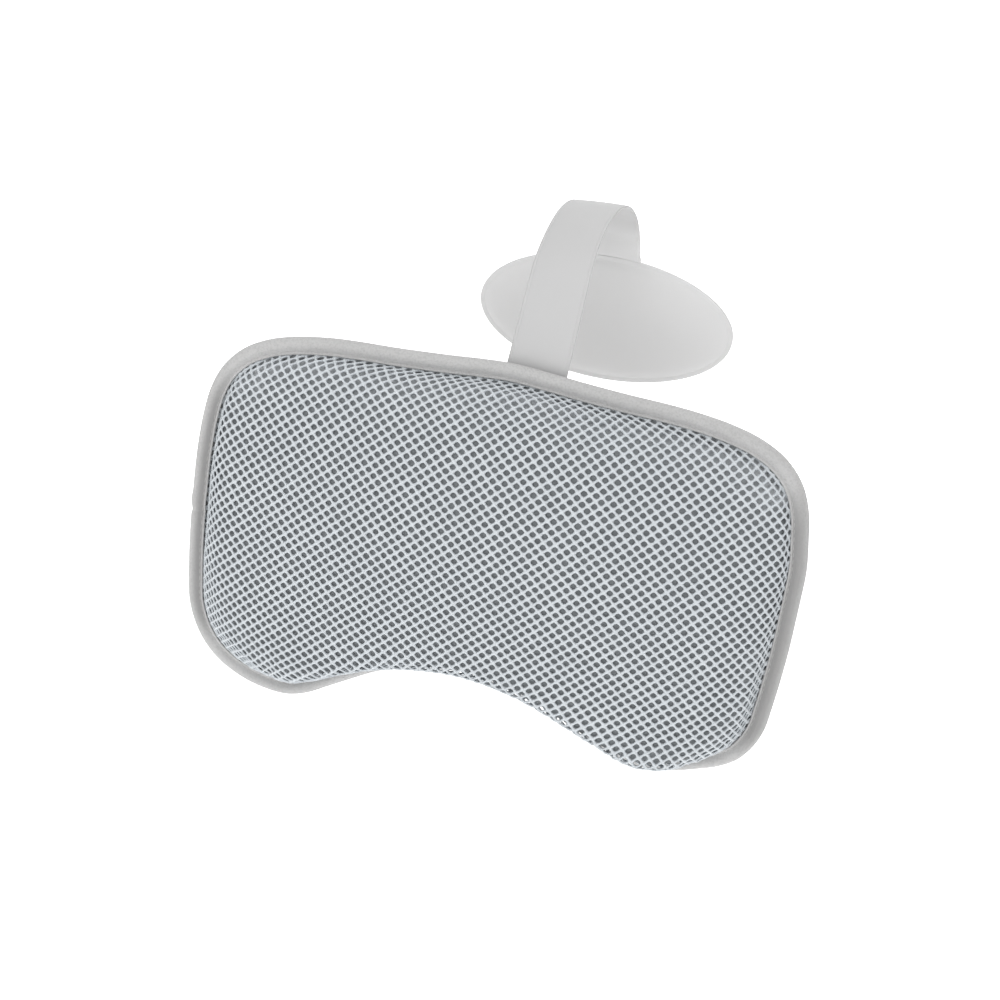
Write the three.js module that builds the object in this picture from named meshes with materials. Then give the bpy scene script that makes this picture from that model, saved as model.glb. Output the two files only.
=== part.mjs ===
// Bath pillow: a domed cushion with an open-hole mesh front, a smooth back panel and a bound
// edge, hung from a flat strap that loops over the rim of a tub to a weighted oval pad.
// Millimetres. X across the pillow, Y from the bather to the tub wall, Z up.
// The rear face of the back panel lies in the plane Y = 0.
import * as THREE from 'three';
import { mergeVertices } from 'three/addons/utils/BufferGeometryUtils.js';

// ---------------------------------------------------------------- driving dimensions (mm, degrees)
// Right half of the outer edge seen from the front, top centre round to the neck recess [x, z].
const RIM_HALF = [
  [0, 103.2], [18, 102.4], [37, 100.9], [58, 99.7], [82.6, 98.6], [98, 97.5], [113.5, 95.2],
  [130.2, 90.5], [144.2, 82.8], [154.4, 71.4], [160.4, 57.6], [163.3, 43.0], [164.6, 28.0],
  [165.0, 12.0], [164.8, -4.0], [164.2, -20.0], [163.5, -36.0], [162.2, -51.0], [159.7, -65.0],
  [155.2, -77.4], [148.0, -88.6], [137.6, -97.8], [124.2, -103.8], [110.0, -105.6],
  [98.0, -104.2], [87.0, -100.4], [76.0, -95.2], [64.0, -89.2], [51.0, -82.8], [36.0, -76.6],
  [18.0, -72.4], [0, -71.0],
];
const N_RIM = 60;                // points round the edge
const BAND_W = 9.0;              // bound edge, outer edge to the seam
const BAND_T = 6.6;              // bound edge, front to back
const SLOT_FRONT = -5.3;         // the binding's slot, which the layers' edges sit in
const SLOT_REAR = -1.3;
const SLOT_FLOOR = 2.0;          // slot floor, in from the outer edge

const SEAM = BAND_W + 0.5;       // where the mesh leaves the band, in from the outer edge
const WALL_H = 19.0;             // height of the steep side wall above the seam
const CROWN_H = 18.0;            // crown on top of the wall
const WALL_RUN = 2.6;            // distance in which the wall rises
const CROWN_Z = -10.0;           // the crown's highest line
const MESH_T = 1.4, LINER_T = 0.7, PANEL_T = 1.2, GAP = 0.3;
const MESH_FLANGE = -5.0;        // front face of the mesh's edge in the slot

const STRAP_W = 32.0, STRAP_T = 1.2;
const STRAP_BASE = [10.6, 1.1, 97.0];   // where the strap leaves the back panel
const STRAP_YAW = 8.4;           // the loop's plane turned about Z
const STRAP_LEAN = 15.1;         // front run, back from vertical
const STRAP_RUN = 53.1;          // straight length of the front run
const LOOP_R = 44.3;             // radius of the loop over the rim
const PAD_LEAN = 15.3;           // pad, back from vertical
const TWIST_AT = [0, 0.18, 0.55, 1.0];
const TWIST_YAW = [0, 5.1, 16.0, 2.2];
const TWIST_ROLL = [0, 2.0, 7.0, 0.7];
const FRONT_BEND_AT = 88.0, REAR_BEND_AT = 134.0;   // fold lines along the strap
const FOLD_GAP = 0.6;            // strap end to fold line
const ANCHOR_LEN = 46.0;         // sewn end on the back panel

const PAD_A = 72.9, PAD_B = 38.5;       // oval pad, half axes
const PAD_EDGE = 3.0;            // sealed edge of the pad
const PAD_SKIN = 0.8;            // pad cover sheet
const PLATE_T = 1.0;             // steel weight
const PAD_TAB = 27.0;            // strap end sewn to the pad
const N_PAD = 40;

// ---------------------------------------------------------------- helpers
const V = (x, y, z) => new THREE.Vector3(x, y, z);
const rad = THREE.MathUtils.degToRad;

function solid(positions, triangles) {
  let vol = 0;
  for (const [a, b, c] of triangles) {
    vol += positions[a].dot(V().crossVectors(positions[b], positions[c]));
  }
  const index = triangles.flatMap(([a, b, c]) => (vol < 0 ? [a, c, b] : [a, b, c]));
  const g = new THREE.BufferGeometry();
  g.setAttribute('position', new THREE.Float32BufferAttribute(positions.flatMap((p) => p.toArray()), 3));
  g.setIndex(index);
  const m = mergeVertices(g, 1e-5);
  m.computeVertexNormals();
  return m;
}

// Skin over a row of closed rings, with a fan over the first and the last ring. The first rows
// can take the other diagonal, so that two nested sheets keep the same facets.
function skin(rings, startCentre, endCentre, mirrored = 0) {
  const n = rings[0].length, pos = rings.flat(), tri = [];
  for (let r = 0; r + 1 < rings.length; r++) {
    for (let i = 0; i < n; i++) {
      const j = (i + 1) % n, a = r * n + i, b = r * n + j, c = a + n, d = b + n;
      if (r < mirrored) tri.push([a, b, c], [b, d, c]);
      else tri.push([a, b, d], [a, d, c]);
    }
  }
  const s = pos.length, e = s + 1, last = (rings.length - 1) * n;
  pos.push(startCentre, endCentre);
  for (let i = 0; i < n; i++) {
    const j = (i + 1) % n;
    tri.push([s, j, i], [e, last + i, last + j]);
  }
  return solid(pos, tri);
}

// Closed ring body: a section carried round a closed path, last section joined to the first.
function hoop(sections) {
  const n = sections.length, k = sections[0].length, pos = sections.flat(), tri = [];
  for (let s = 0; s < n; s++) {
    for (let i = 0; i < k; i++) {
      const j = (i + 1) % k, t = (s + 1) % n;
      const a = s * k + i, b = s * k + j, c = t * k + i, d = t * k + j;
      tri.push([a, b, d], [a, d, c]);
    }
  }
  return solid(pos, tri);
}

const part = new THREE.Group();
function piece(name, geometry, color, roughness, metalness = 0, parent = part) {
  const mesh = new THREE.Mesh(geometry, new THREE.MeshStandardMaterial({ color, roughness, metalness }));
  mesh.name = name;
  parent.add(mesh);
  return mesh;
}

// ---------------------------------------------------------------- outline of the pillow
const rimPoints = [
  ...RIM_HALF.map(([x, z]) => V(x, 0, z)),
  ...RIM_HALF.slice(1, -1).reverse().map(([x, z]) => V(-x, 0, z)),
];
const rimCurve = new THREE.CatmullRomCurve3(rimPoints, true, 'centripetal');
const rim = rimCurve.getSpacedPoints(N_RIM).slice(0, N_RIM);
const inward = rim.map((p, i) => {
  const t = V().subVectors(rim[(i + 1) % N_RIM], rim[(i + N_RIM - 1) % N_RIM]).normalize();
  return V(t.z, 0, -t.x).multiplyScalar(-1);
});
if (inward[0].z > 0) inward.forEach((v) => v.multiplyScalar(-1));

// Ring that keeps a distance d inside the outer edge, at depth y.
const edgeRing = (d, y) => rim.map((p, i) => V(p.x + inward[i].x * d, y, p.z + inward[i].z * d));

// Ring of the dome: u in from the seam, or further by a share of the way to the middle line.
const middle = (p) => V(THREE.MathUtils.clamp(p.x * 0.62, -92, 92), 0, 4 - 16 * Math.min(1, Math.abs(p.x) / 110));
function height(p, u) {
  const below = p.z < CROWN_Z ? 130 : 102;
  const crown = Math.max(0, 1 - (p.x / 158) ** 2 - ((p.z - CROWN_Z) / below) ** 2);
  return (1 - Math.exp(-u / WALL_RUN)) * (WALL_H + CROWN_H * crown);
}
function domeRing(u, share, inset) {
  return rim.map((p, i) => {
    const s = V(p.x + inward[i].x * SEAM, 0, p.z + inward[i].z * SEAM);
    const m = middle(s), spoke = V().subVectors(m, s), len = spoke.length();
    const run = u + share * (len - 14);
    const q = share > 0
      ? V(s.x + spoke.x / len * run, 0, s.z + spoke.z / len * run)
      : V(s.x + inward[i].x * u, 0, s.z + inward[i].z * u);
    const y = MESH_FLANGE - height(q, run) + inset;
    if (share > 0) return V(q.x, y, q.z);
    return V(q.x + inward[i].x * inset, y, q.z + inward[i].z * inset);
  });
}
const DOME = [[0, 0], [0.9, 0], [2.4, 0], [5.5, 0], [12, 0], [14, 0.32], [14, 0.68]];
const dome = (inset) => DOME.map(([u, share]) => domeRing(u, share, inset));
const domeTop = (inset) => V(0, MESH_FLANGE - height(V(0, 0, 6), 90) + inset, 6);

// Edge skin: flange in the binding's slot, then the domed sheet, then back down its inner side.
function cover(inset, thick, flangeFrom, front, rear) {
  const outer = dome(inset), inner = dome(inset + thick);
  outer[0].forEach((p) => { p.y = front; });
  inner[0].forEach((p) => { p.y = rear; });
  return skin(
    [...inner.reverse(), edgeRing(flangeFrom, rear), edgeRing(flangeFrom, front), ...outer],
    domeTop(inset + thick), domeTop(inset), DOME.length);
}

// ---------------------------------------------------------------- pillow
const meshRear = MESH_FLANGE + 1.0;
const linerFront = meshRear + GAP, linerRear = linerFront + 0.6;
const linerInset = MESH_T + GAP, coreInset = linerInset + LINER_T + GAP;
piece('front_mesh_cover', cover(0, MESH_T, 2.4, MESH_FLANGE, meshRear), 0xd5dade, 0.8);
piece('front_liner', cover(linerInset, LINER_T, 2.6, linerFront, linerRear), 0x5f6468, 0.9);

const coreRear = -PANEL_T - GAP;
const coreRings = dome(coreInset);
coreRings[0].forEach((p) => { p.y = coreRear; });
piece('foam_core', skin(coreRings, V(0, coreRear, 0), domeTop(coreInset)), 0xe4e2d8, 0.95);

const panelFlangeRear = SLOT_REAR - GAP;
piece('back_panel', skin([
  edgeRing(10.6, 0), edgeRing(9.4, panelFlangeRear), edgeRing(2.6, panelFlangeRear),
  edgeRing(2.6, panelFlangeRear - PANEL_T), edgeRing(9.8, panelFlangeRear - PANEL_T),
  edgeRing(11.8, -PANEL_T),
], V(0, 0, 0), V(0, -PANEL_T, 0)), 0xbcbab6, 0.7);

const BAND_SECTION = [
  [BAND_W, SLOT_FRONT], [BAND_W, -6.0], [8.2, -6.5], [5.0, -BAND_T], [2.2, -6.1], [0.6, -4.9],
  [0, -3.3], [0.6, -1.7], [2.2, -0.5], [5.0, 0], [BAND_W, 0], [BAND_W, SLOT_REAR],
  [SLOT_FLOOR, SLOT_REAR], [SLOT_FLOOR, SLOT_FRONT],
];
const along = (d, y, i) => V(rim[i].x + inward[i].x * d, y, rim[i].z + inward[i].z * d);
piece('edge_binding', hoop(rim.map((_, i) => BAND_SECTION.map(([d, y]) => along(d, y, i)))), 0xc3c2c0, 0.75);

// Thread of the seam that closes the binding over the layers.
piece('binding_stitch', hoop(rim.map((_, i) => [
  along(7.5, -6.9, i), along(7.5, -7.3, i), along(6.9, -7.3, i), along(6.9, -6.9, i),
])), 0xd2d2d0, 0.8);

// ---------------------------------------------------------------- strap path
const loopDir = V(Math.sin(rad(STRAP_YAW)), Math.cos(rad(STRAP_YAW)), 0);
const up = V(0, 0, 1);
const base = V(...STRAP_BASE);
const mix = (a, b) => V().addScaledVector(loopDir, a).addScaledVector(up, b);
const runEnd = base.clone().addScaledVector(mix(Math.sin(rad(STRAP_LEAN)), Math.cos(rad(STRAP_LEAN))), STRAP_RUN);
const loopCentre = runEnd.clone().addScaledVector(mix(Math.cos(rad(STRAP_LEAN)), -Math.sin(rad(STRAP_LEAN))), LOOP_R);
const loopFrom = Math.PI - rad(STRAP_LEAN), loopTo = rad(PAD_LEAN);
const STRAP_LEN = STRAP_RUN + LOOP_R * (loopFrom - loopTo);

// Value that passes smoothly through the twist marks along the strap.
function eased(marks, t) {
  const x = TWIST_AT, n = x.length;
  const d = (i) => (marks[i + 1] - marks[i]) / (x[i + 1] - x[i]);
  const slope = (i) => {
    if (i === 0) return d(0);
    if (i === n - 1) return d(n - 2);
    return d(i - 1) * d(i) <= 0 ? 0 : 2 * d(i - 1) * d(i) / (d(i - 1) + d(i));
  };
  let i = 0;
  while (i < n - 2 && t > x[i + 1]) i++;
  const h = x[i + 1] - x[i], u = (t - x[i]) / h;
  return marks[i] * (1 + 2 * u) * (1 - u) ** 2 + slope(i) * h * u * (1 - u) ** 2
    + marks[i + 1] * u * u * (3 - 2 * u) + slope(i + 1) * h * u * u * (u - 1);
}

// Middle of the strap, its direction, its width direction and its face normal at length s.
function strapAt(s) {
  let p, t;
  if (s <= STRAP_RUN) {
    t = mix(Math.sin(rad(STRAP_LEAN)), Math.cos(rad(STRAP_LEAN)));
    p = base.clone().addScaledVector(t, s);
  } else {
    const a = loopFrom - (s - STRAP_RUN) / LOOP_R;
    p = loopCentre.clone().addScaledVector(mix(Math.cos(a), Math.sin(a)), LOOP_R);
    t = mix(Math.sin(a), -Math.cos(a));
  }
  const k = THREE.MathUtils.clamp(s / STRAP_LEN, 0, 1);
  const yaw = rad(eased(TWIST_YAW, k)), roll = rad(eased(TWIST_ROLL, k));
  const w = V(Math.cos(roll) * Math.cos(yaw), -Math.cos(roll) * Math.sin(yaw), Math.sin(roll));
  w.addScaledVector(t, -w.dot(t)).normalize();
  return { p, t, w, n: V().crossVectors(w, t).normalize() };
}

function strapSection(f, width = STRAP_W, thick = STRAP_T) {
  const at = (a, b) => f.p.clone().addScaledVector(f.w, a * width / 2).addScaledVector(f.n, b * thick / 2);
  return [at(-1, -1), at(1, -1), at(1, 1), at(-1, 1)];
}
const centre = (ring) => ring.reduce((c, p) => c.add(p), V()).multiplyScalar(1 / ring.length);
function strapLink(from, to, steps) {
  const rings = [];
  for (let i = 0; i <= steps; i++) rings.push(strapSection(strapAt(from + (to - from) * i / steps)));
  return skin(rings, centre(rings[0]), centre(rings[steps]));
}

const STRAP_COLOR = 0xcfcfcf;
// Sewn end: flat on the back panel, straight down from the fold at the top.
const anchorTop = STRAP_BASE[2] - FOLD_GAP, anchorLow = STRAP_BASE[2] - ANCHOR_LEN;
const flat = (z) => strapSection({ p: V(STRAP_BASE[0], STRAP_BASE[1], z), w: V(1, 0, 0), n: V(0, 1, 0) });
const anchorRings = [flat(anchorLow), flat((anchorLow + anchorTop) / 2), flat(anchorTop)];
piece('strap_anchor', skin(anchorRings, centre(anchorRings[0]), centre(anchorRings[2])), STRAP_COLOR, 0.5);

// Box seam of thread that holds the sewn end.
function boxSeam(width, length, thread, lift) {
  const a = width / 2, b = length / 2;
  const path = [[-a, -b], [a, -b], [a, b], [-a, b]];
  const sign = [[-1, -1], [1, -1], [1, 1], [-1, 1]];
  return hoop(path.map(([x, y], i) => {
    const [sx, sy] = sign[i];
    return [
      V(x, y, lift), V(x, y, lift + thread),
      V(x - sx * thread, y - sy * thread, lift + thread), V(x - sx * thread, y - sy * thread, lift),
    ];
  }));
}
const anchorSeam = piece('anchor_stitch', boxSeam(26, 30, 0.5, 0), 0xd8d8d6, 0.8);
anchorSeam.position.set(STRAP_BASE[0], STRAP_BASE[1] + STRAP_T / 2 + GAP, anchorLow + 19);
anchorSeam.rotation.set(-Math.PI / 2, 0, 0);

piece('strap_front_run', strapLink(FOLD_GAP, FRONT_BEND_AT - FOLD_GAP, 12), STRAP_COLOR, 0.5);
piece('strap_crest', strapLink(FRONT_BEND_AT + FOLD_GAP, REAR_BEND_AT - FOLD_GAP, 8), STRAP_COLOR, 0.5);
piece('strap_rear_run', strapLink(REAR_BEND_AT + FOLD_GAP, STRAP_LEN - FOLD_GAP, 6), STRAP_COLOR, 0.5);

// ---------------------------------------------------------------- weighted oval pad
// Local frame: X along the oval, Y up in its plane, Z towards the tub; the strap's middle is Z = 0.
const end = strapAt(STRAP_LEN);
const pad = new THREE.Group();
pad.matrixAutoUpdate = false;
pad.matrix.makeBasis(end.w, end.t.clone().negate(), V().crossVectors(end.w, end.t.clone().negate()))
  .setPosition(end.p.clone().addScaledVector(end.t, PAD_B + FOLD_GAP));
part.add(pad);
const ovalRing = (inset, z) => Array.from({ length: N_PAD }, (_, i) => {
  const a = 2 * Math.PI * i / N_PAD;
  return V((PAD_A - inset) * Math.cos(a), (PAD_B - inset) * Math.sin(a), z);
});
const rearFace = STRAP_T / 2 + GAP;                   // rear face of the pad's rear cover
const flangeRear = rearFace + PAD_SKIN + GAP;         // the front cover's sealed edge
const plateRear = flangeRear, plateFront = plateRear + PLATE_T;
const faceRear = plateFront + GAP, faceFront = faceRear + PAD_SKIN;

piece('pad_rear_cover', skin(
  [ovalRing(0.8, rearFace), ovalRing(0, rearFace + 0.3), ovalRing(0, rearFace + PAD_SKIN)],
  V(0, 0, rearFace), V(0, 0, rearFace + PAD_SKIN)), 0xcccccc, 0.55, 0, pad);
piece('pad_front_cover', skin([
  ovalRing(5.2, faceRear), ovalRing(PAD_EDGE + 0.8, flangeRear), ovalRing(0, flangeRear),
  ovalRing(0, flangeRear + 0.5), ovalRing(0.8, flangeRear + PAD_SKIN),
  ovalRing(PAD_EDGE, flangeRear + PAD_SKIN), ovalRing(4.4, faceFront),
], V(0, 0, faceRear), V(0, 0, faceFront)), 0xd0d0d0, 0.55, 0, pad);
piece('weight_plate', skin(
  [ovalRing(7.0, plateRear), ovalRing(6.0, plateRear + 0.4), ovalRing(6.0, plateFront - 0.4), ovalRing(7.0, plateFront)],
  V(0, 0, plateRear), V(0, 0, plateFront)), 0x9a9c9e, 0.4, 0.9, pad);

const tabTop = PAD_B, tabLow = PAD_B - PAD_TAB;
const tabFlat = (y) => strapSection({ p: V(0, y, 0), w: V(1, 0, 0), n: V(0, 0, 1) });
const tabRings = [tabFlat(tabLow), tabFlat((tabLow + tabTop) / 2), tabFlat(tabTop)];
piece('strap_pad_tab', skin(tabRings, centre(tabRings[0]), centre(tabRings[2])), STRAP_COLOR, 0.5, 0, pad);
const tabSeam = piece('pad_tab_stitch', boxSeam(26, 19, 0.5, 0), 0xd8d8d6, 0.8, 0, pad);
tabSeam.position.set(0, tabLow + 13, -STRAP_T / 2 - GAP);
tabSeam.rotation.set(Math.PI, 0, 0);

export default part;
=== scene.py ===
"""Looks of a bath pillow: domed mesh front over a padded liner, bound edge, looped strap and oval weight pad.
Lengths inside the shape functions are in millimetres, and every mesh is written in metres."""

import math

import bpy
import numpy as np
from mathutils import Matrix, Vector
from mathutils.kdtree import KDTree


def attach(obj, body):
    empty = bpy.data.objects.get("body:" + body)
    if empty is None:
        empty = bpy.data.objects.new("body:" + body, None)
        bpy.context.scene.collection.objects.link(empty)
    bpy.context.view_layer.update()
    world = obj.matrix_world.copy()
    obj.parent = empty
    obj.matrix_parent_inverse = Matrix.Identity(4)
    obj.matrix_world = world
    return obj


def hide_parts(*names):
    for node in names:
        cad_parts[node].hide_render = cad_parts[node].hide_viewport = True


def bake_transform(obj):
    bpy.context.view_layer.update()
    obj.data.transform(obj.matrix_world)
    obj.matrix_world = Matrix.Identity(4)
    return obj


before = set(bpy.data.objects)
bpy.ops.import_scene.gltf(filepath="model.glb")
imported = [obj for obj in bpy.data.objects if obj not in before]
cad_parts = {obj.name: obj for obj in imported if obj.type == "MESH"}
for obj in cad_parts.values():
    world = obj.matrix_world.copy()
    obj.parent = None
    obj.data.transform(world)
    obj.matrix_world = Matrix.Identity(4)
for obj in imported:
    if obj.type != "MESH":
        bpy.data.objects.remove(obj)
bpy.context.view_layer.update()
scene = bpy.context.scene
MM = 0.001

# ------------------------------------------------------------------ dimensions
# bound edge from the top middle down to the recess: the upper part is even, the lobes are sewn a little unlike
RIM_TOP = [
    (0, 103.2), (18, 102.4), (37, 100.9), (58, 99.7), (82.6, 98.6), (98, 97.5), (113.5, 95.2), (130.2, 90.5),
    (144.2, 82.8), (154.4, 71.4), (160.4, 57.6), (163.3, 43.0),
]
RIM_RIGHT = RIM_TOP + [
    (165.2, 28.0), (165.3, 12.0), (165.0, -4.0), (164.6, -20.0), (163.8, -36.0), (162.5, -51.0), (160.9, -64.0), (157.1, -74.5),
    (150.4, -84.0), (141.0, -90.4), (132.0, -94.2), (122.0, -97.8), (110.0, -100.2), (98.0, -100.6), (87.0, -98.4), (76.0, -94.2),
    (64.0, -88.8), (51.0, -82.8), (36.0, -76.6), (18.0, -72.4), (0, -71.0),
]
RIM_LEFT = RIM_TOP + [
    (164.6, 28.0), (165.0, 12.0), (164.8, -4.0), (164.2, -20.0), (163.5, -36.0), (162.3, -51.0), (160.4, -65.0), (155.4, -78.5),
    (148.2, -89.0), (138.6, -97.4), (124.2, -104.6), (110.0, -107.8), (98.0, -107.8), (87.0, -104.2), (76.0, -97.6),
    (64.0, -90.2), (51.0, -82.8), (36.0, -76.6), (18.0, -72.4), (0, -71.0),
]
SEAM = 9.5  # the mesh meets the binding this far in from the edge
FLANGE_Y = -5.0  # front of the mesh under the binding
MID = np.array([0.0, -10.0])  # middle of the dome
PITCH_X, PITCH_Z = 6.25, 5.66  # spacing of the mesh's holes along the cloth
NET_T = 1.2  # thickness of the mesh
LINER_BACK = 1.7  # the liner lies this far behind the mesh's front

STRAP_W, STRAP_T = 32.0, 1.2
BASE = np.array([10.6, 1.1, 97.0])
YAW, LEAN, RUN, LOOP_R, PAD_LEAN = math.radians(8.4), math.radians(15.1), 53.1, 44.3, math.radians(15.3)
TWIST_AT, TWIST_YAW, TWIST_ROLL = (0, 0.18, 0.55, 1.0), (0, 5.1, 16.0, 2.2), (0, 2.0, 7.0, 0.7)
ANCHOR_L = 46.0
FOLD_FRONT, FOLD_REAR = 88.0, 134.0  # where the loop's links meet, along the strap
TAB_L = 27.0
PAD_A, PAD_B = 72.9, 38.5


# ------------------------------------------------------------------ small helpers
def smooth01(t):
    t = np.clip(t, 0, 1)
    return t * t * (3 - 2 * t)


def mesh_object(name, verts_mm, faces, uv=None, attributes=None, smooth=True, wrap=None):
    """A new mesh piece from points in millimetres. faces is a list of index tuples or one array of quads."""
    me = bpy.data.meshes.new(name)
    v = np.asarray(verts_mm, float) * MM
    me.from_pydata(v.tolist(), [], [tuple(int(i) for i in f) for f in faces])
    me.validate(clean_customdata=False)
    if smooth:
        me.polygons.foreach_set("use_smooth", np.ones(len(me.polygons), bool))
    for key, values in (attributes or {}).items():
        a = me.attributes.new(key, "FLOAT", "POINT")
        a.data.foreach_set("value", np.asarray(values, np.float32))
    if uv is not None:
        layer = me.uv_layers.new(name="UVMap")
        idx = np.empty(len(me.loops), np.int32)
        me.loops.foreach_get("vertex_index", idx)
        flat = np.asarray(uv, np.float32)[idx]
        if wrap:  # quads that close a loop run on past its end
            quad = flat[:, 0].reshape(-1, 4)
            over = (quad.max(1) - quad.min(1)) > wrap / 2
            flat[:, 0] = np.where(over[:, None] & (quad < wrap / 2), quad + wrap, quad).ravel()
        layer.data.foreach_set("uv", flat.ravel())
    me.update()
    o = bpy.data.objects.new(name, me)
    scene.collection.objects.link(o)
    return o


def sharpen(o, degrees=40):
    """Marks the edges that turn by more than this as sharp, so flat faces stay flat under smooth shading."""
    import bmesh

    bm = bmesh.new()
    bm.from_mesh(o.data)
    for e in bm.edges:
        e.smooth = not (len(e.link_faces) == 2 and e.calc_face_angle(0) > math.radians(degrees))
    bm.to_mesh(o.data)
    bm.free()


def grid_faces(rows, cols, closed_cols=False, closed_rows=False, flip=False):
    """Quads of a rows x cols grid of points, numbered row by row."""
    r = np.arange(rows if closed_rows else rows - 1)
    c = np.arange(cols if closed_cols else cols - 1)
    rr, cc = np.meshgrid(r, c, indexing="ij")
    r2, c2 = (rr + 1) % rows, (cc + 1) % cols
    q = np.stack([rr * cols + cc, rr * cols + c2, r2 * cols + c2, r2 * cols + cc], -1).reshape(-1, 4)
    return q[:, ::-1] if flip else q


def wavy(s, total, seeds, amounts):
    """A smooth closed wave along a loop of that length: seeds are whole numbers of waves."""
    out = np.zeros_like(s)
    for k, a in zip(seeds, amounts):
        out += a * np.sin(2 * math.pi * k * s / total + 1.7 * k + 0.31 * k * k)
    return out


# ------------------------------------------------------------------ outline and dome
def outline(n):
    """n points at even spacing along the bound edge, from the top middle, clockwise seen from the front."""
    ctrl = np.array(RIM_RIGHT + [(-x, z) for x, z in RIM_LEFT[-2:0:-1]], float)
    m = len(ctrl)
    fine = []
    for i in range(m):
        p0, p1, p2, p3 = ctrl[i - 1], ctrl[i], ctrl[(i + 1) % m], ctrl[(i + 2) % m]
        d0, d1, d2 = (np.linalg.norm(b - a) ** 0.5 for a, b in ((p0, p1), (p1, p2), (p2, p3)))
        t1 = ((p1 - p0) / d0 - (p2 - p0) / (d0 + d1) + (p2 - p1) / d1) * d1
        t2 = ((p2 - p1) / d1 - (p3 - p1) / (d1 + d2) + (p3 - p2) / d2) * d1
        t = np.linspace(0, 1, 24, endpoint=False)[:, None]
        fine.append(p1 + t1 * t + (-3 * p1 + 3 * p2 - 2 * t1 - t2) * t**2 + (2 * p1 - 2 * p2 + t1 + t2) * t**3)
    fine = np.concatenate(fine)
    ring = np.vstack([fine, fine[:1]])
    s = np.concatenate([[0], np.cumsum(np.linalg.norm(np.diff(ring, axis=0), axis=1))])
    at = np.linspace(0, s[-1], n, endpoint=False)
    return np.stack([np.interp(at, s, ring[:, 0]), np.interp(at, s, ring[:, 1])], 1), s[-1]


RIM, RIM_LEN = outline(480)


def outward(ring):
    t = np.roll(ring, -1, 0) - np.roll(ring, 1, 0)
    t /= np.linalg.norm(t, axis=1)[:, None]
    return np.stack([-t[:, 1], t[:, 0]], 1)


RIM_OUT = outward(RIM)


def edge_exact(p):
    """Distance in from the bound edge, outward direction there, and place along the edge."""
    a, ab = RIM, np.roll(RIM, -1, 0) - RIM
    l2 = (ab**2).sum(1)
    d, nx, nz, s = (np.empty(len(p)) for _ in range(4))
    for k in range(0, len(p), 4000):
        q = p[k : k + 4000]
        t = np.clip(((q[:, None] - a) * ab).sum(2) / l2, 0, 1)
        near = a + t[..., None] * ab
        dd = ((q[:, None] - near) ** 2).sum(2)
        i = dd.argmin(1)
        j = np.arange(len(q))
        ti = t[j, i]
        n = RIM_OUT[i] * (1 - ti)[:, None] + np.roll(RIM_OUT, -1, 0)[i] * ti[:, None]
        n /= np.linalg.norm(n, axis=1)[:, None]
        off = q - near[j, i]
        sign = np.where((off * n).sum(1) <= 0, 1.0, -1.0)
        d[k : k + 4000] = np.sqrt(dd[j, i]) * sign
        nx[k : k + 4000], nz[k : k + 4000] = n[:, 0], n[:, 1]
        s[k : k + 4000] = (i + ti) * RIM_LEN / len(RIM)
    return d, np.stack([nx, nz], 1), s


# places along the edge where the cloth is gathered, with how strongly
GATHERS = [((163, -46), 22, 1.5), ((150, -86), 24, 1.1), ((-150, -86), 26, 0.4), ((-150, 78), 22, 0.7), ((150, 78), 22, 0.7), ((95, -103), 22, 0.5), ((-95, -103), 22, 0.5)]
GATHER_S = [edge_exact(np.array([p], float))[2][0] for p, _, _ in GATHERS]


def gather_at(s):
    g = np.full_like(s, 0.12)
    for (_, width, amount), s0 in zip(GATHERS, GATHER_S):
        away = np.abs((s - s0 + RIM_LEN / 2) % RIM_LEN - RIM_LEN / 2)
        g += amount * np.exp(-((away / width) ** 2))
    return g


# how quickly the cushion's wall rises from the seam, by place along the edge: steep at the recess, gentle round the lobes
RISE = [
    ((0, 103.2), 2.5), ((82, 98.6), 2.5), ((130, 90.5), 3.0), ((154.4, 71.4), 3.4), ((163.3, 43.0), 3.4), ((165.0, 12.0), 3.4),
    ((163.5, -36.0), 5.5), ((159.7, -65.0), 9.5), ((148.0, -88.6), 11.0), ((137.6, -97.8), 10.0), ((124.2, -103.8), 8.0), ((110.0, -105.6), 5.2),
    ((98.0, -104.2), 3.4), ((87.0, -100.4), 2.6), ((76.0, -95.2), 2.2), ((51.0, -82.8), 1.8), ((18.0, -72.4), 1.7), ((0, -71.0), 1.7),
]
# the lobe that hangs lower is gentler underneath, the one drawn up is fuller
RISE_LEFT = {(124.2, -103.8): 9.0, (110.0, -105.6): 8.0, (98.0, -104.2): 6.0, (87.0, -100.4): 4.0, (76.0, -95.2): 2.8}
RISE_RIGHT = {(165.0, 12.0): 4.2, (163.5, -36.0): 6.5, (159.7, -65.0): 7.5, (148.0, -88.6): 6.2, (137.6, -97.8): 4.4, (124.2, -103.8): 2.3, (110.0, -105.6): 1.8, (98.0, -104.2): 1.8, (87.0, -100.4): 1.8}


def rise_table():
    at, value = [], []
    for sign, own in ((1, RISE_RIGHT), (-1, RISE_LEFT)):
        for p, v in RISE:
            at.append(edge_exact(np.array([(sign * p[0], p[1])], float))[2][0])
            value.append(own.get(p, v))
    order = np.argsort(at)
    at, value = np.array(at)[order], np.array(value)[order]
    return np.concatenate([at - RIM_LEN, at, at + RIM_LEN]), np.tile(value, 3)


RISE_S, RISE_V = rise_table()


def rise_at(s):
    return np.interp(s, RISE_S, RISE_V)


def dome_height(p, u, s):
    """Height of the cushion above the binding."""
    x, z = p[:, 0] / 100, (p[:, 1] + 10) / 100
    crown = 34.871 - 8.049 * x**2 - 1.043 * z - 16.053 * z**2 - 3.939 * x**2 * z + 0.335 * x**4 + 4.392 * x**2 * z**2 - 0.216 * z**3
    return np.maximum(crown, 8) * (1 - np.exp(-np.maximum(u, 0) / rise_at(s)))


GAP_S = edge_exact(np.array([(-164.5, 14.0)]))[2][0]


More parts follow.
